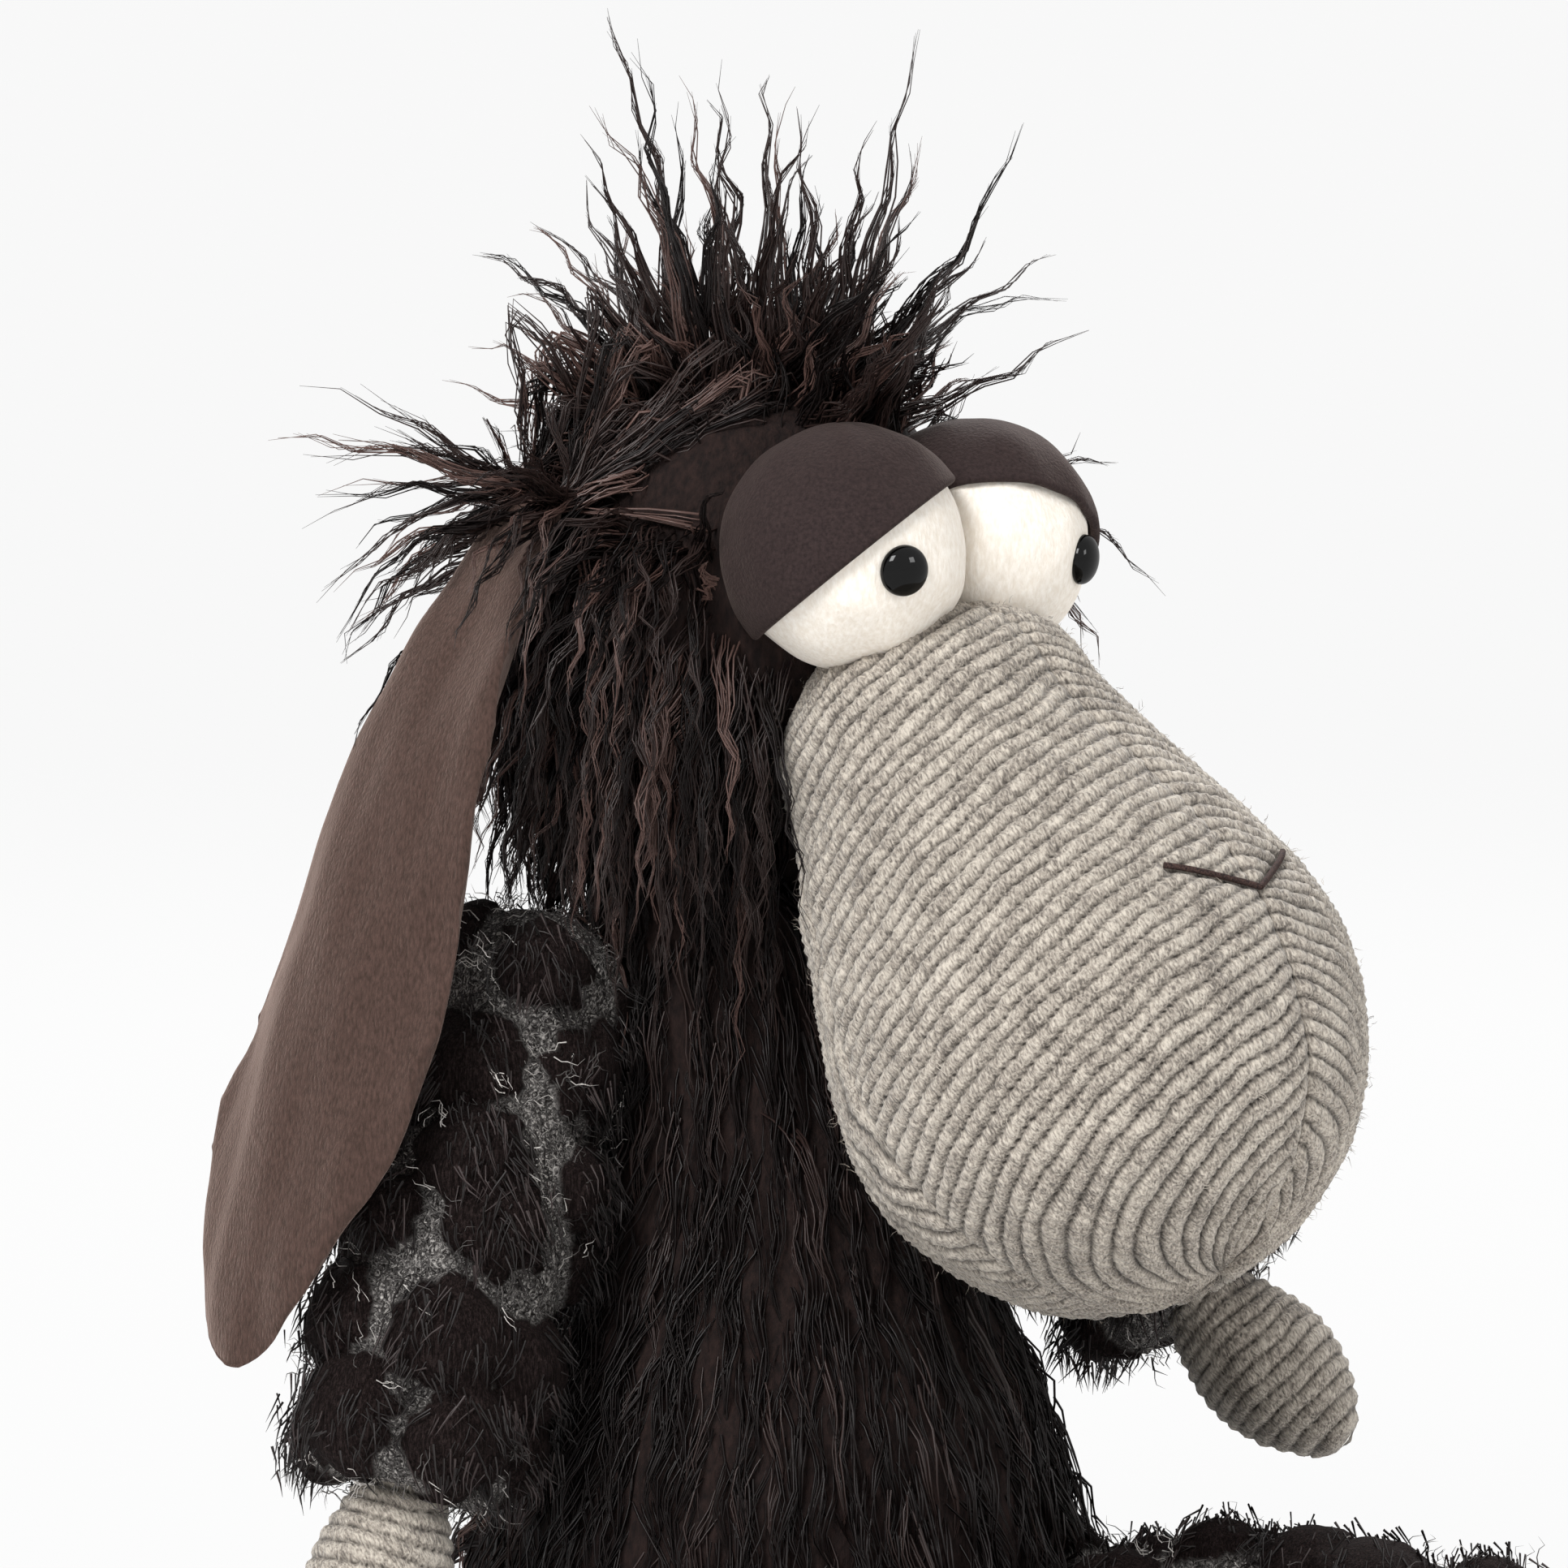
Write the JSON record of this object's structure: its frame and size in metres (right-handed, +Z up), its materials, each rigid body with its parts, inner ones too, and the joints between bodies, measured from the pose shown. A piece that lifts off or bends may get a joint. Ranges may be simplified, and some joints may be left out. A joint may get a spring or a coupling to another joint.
{
  "type": "plush sheep",
  "caption": "Seated plush sheep with a drooping snout, long hanging ears, shaggy body and soft jointed arms and legs.",
  "frame": {"origin": "on the underside of the seat panel, under the middle of the head", "axes": "+Z up, -Y the way that the sheep faces, +X towards its left side"},
  "size_m": [0.2666, 0.3543, 0.4088],
  "materials": {
    "shaggy_fur": "matte",
    "ear_plush": "matte",
    "eyelid_plush": "matte",
    "eye_plush": "matte",
    "pupil_gloss": "gloss",
    "snout_knit": "matte",
    "hoof_knit": "matte",
    "sleeve_fur": "matte",
    "thread": "matte",
    "stuffing": "matte",
    "pellet_bag": "matte",
    "washer_plastic": "satin"
  },
  "bodies": {
    "torso": {"seat_panel": "shaggy_fur", "torso_cover": "shaggy_fur", "torso_stuffing": "stuffing", "pellet_bag": "pellet_bag"},
    "neck": {"neck_roll": "shaggy_fur"},
    "head": {"head_cover": "shaggy_fur", "head_stuffing": "stuffing", "crown_tuft": "shaggy_fur", "snout_panel_right": "snout_knit", "snout_panel_left": "snout_knit", "chin_panel": "snout_knit", "snout_stuffing": "stuffing", "mouth_thread_right": "thread", "mouth_thread_left": "thread", "eye_ball_right": "eye_plush", "eye_ball_left": "eye_plush", "eyelid_right": "eyelid_plush", "eyelid_left": "eyelid_plush", "pupil_right": "pupil_gloss", "pupil_left": "pupil_gloss", "eye_washer_right": "washer_plastic", "eye_washer_left": "washer_plastic"},
    "ear_right": {"ear_outer_right": "ear_plush", "ear_inner_right": "ear_plush"},
    "ear_left": {"ear_outer_left": "ear_plush", "ear_inner_left": "ear_plush"},
    "arm_right": {"arm_cover_right": "sleeve_fur", "arm_stuffing_right": "stuffing"},
    "hand_right": {"hand_cover_right": "hoof_knit", "hand_stuffing_right": "stuffing"},
    "arm_left": {"arm_cover_left": "sleeve_fur", "arm_stuffing_left": "stuffing"},
    "hand_left": {"hand_cover_left": "hoof_knit", "hand_stuffing_left": "stuffing"},
    "leg_right": {"leg_cover_right": "sleeve_fur", "leg_stuffing_right": "stuffing"},
    "foot_right": {"foot_cover_right": "hoof_knit", "foot_stuffing_right": "stuffing"},
    "leg_left": {"leg_cover_left": "sleeve_fur", "leg_stuffing_left": "stuffing"},
    "foot_left": {"foot_cover_left": "hoof_knit", "foot_stuffing_left": "stuffing"},
    "tail": {"tail": "shaggy_fur"}
  },
  "joints": [
    {"name": "neck_turn", "type": "hinge", "parent": "torso", "child": "neck", "pos_m": [0, 0.004, 0.23], "axis": [0, 0, 1], "range_deg": [-20, 20]},
    {"name": "head_nod", "type": "hinge", "parent": "neck", "child": "head", "pos_m": [0, 0.004, 0.23], "axis": [-1, 0, 0], "range_deg": [0, 20]},
    {"name": "ear_right_lift", "type": "hinge", "parent": "head", "child": "ear_right", "pos_m": [-0.05507, 0.012, 0.307], "axis": [0, 1, 0], "range_deg": [0, 70]},
    {"name": "ear_left_lift", "type": "hinge", "parent": "head", "child": "ear_left", "pos_m": [0.05507, 0.012, 0.307], "axis": [0, -1, 0], "range_deg": [0, 70]},
    {"name": "shoulder_right_swing", "type": "hinge", "parent": "torso", "child": "arm_right", "pos_m": [-0.05854, 0.018, 0.19], "axis": [-1, 0, 0], "range_deg": [-20, 90]},
    {"name": "wrist_right_bend", "type": "hinge", "parent": "arm_right", "child": "hand_right", "pos_m": [-0.10232, 0.018, 0.06972], "axis": [-0.9397, 0, 0.342], "range_deg": [-24, 24]},
    {"name": "shoulder_left_swing", "type": "hinge", "parent": "torso", "child": "arm_left", "pos_m": [0.05854, 0.018, 0.19], "axis": [1, 0, 0], "range_deg": [-16, 60]},
    {"name": "wrist_left_bend", "type": "hinge", "parent": "arm_left", "child": "hand_left", "pos_m": [0.09167, -0.07094, 0.10411], "axis": [-0.9659, -0.1862, -0.1798], "range_deg": [-24, 24]},
    {"name": "hip_right_splay", "type": "hinge", "parent": "torso", "child": "leg_right", "pos_m": [-0.042, -0.06672, 0.0315], "axis": [0, 0, -1], "range_deg": [-4, 28]},
    {"name": "ankle_right_bend", "type": "hinge", "parent": "leg_right", "child": "foot_right", "pos_m": [-0.06901, -0.1938, 0.02696], "axis": [-0.9781, 0.2079, 0], "range_deg": [-18, 24]},
    {"name": "hip_left_splay", "type": "hinge", "parent": "torso", "child": "leg_left", "pos_m": [0.042, -0.06672, 0.0315], "axis": [0, 0, 1], "range_deg": [-4, 28]},
    {"name": "ankle_left_bend", "type": "hinge", "parent": "leg_left", "child": "foot_left", "pos_m": [0.06901, -0.1938, 0.02696], "axis": [-0.9781, -0.2079, 0], "range_deg": [-18, 24]},
    {"name": "tail_lift", "type": "hinge", "parent": "torso", "child": "tail", "pos_m": [0, 0.0609, 0.042], "axis": [1, 0, 0], "range_deg": [0, 40]}
  ]
}
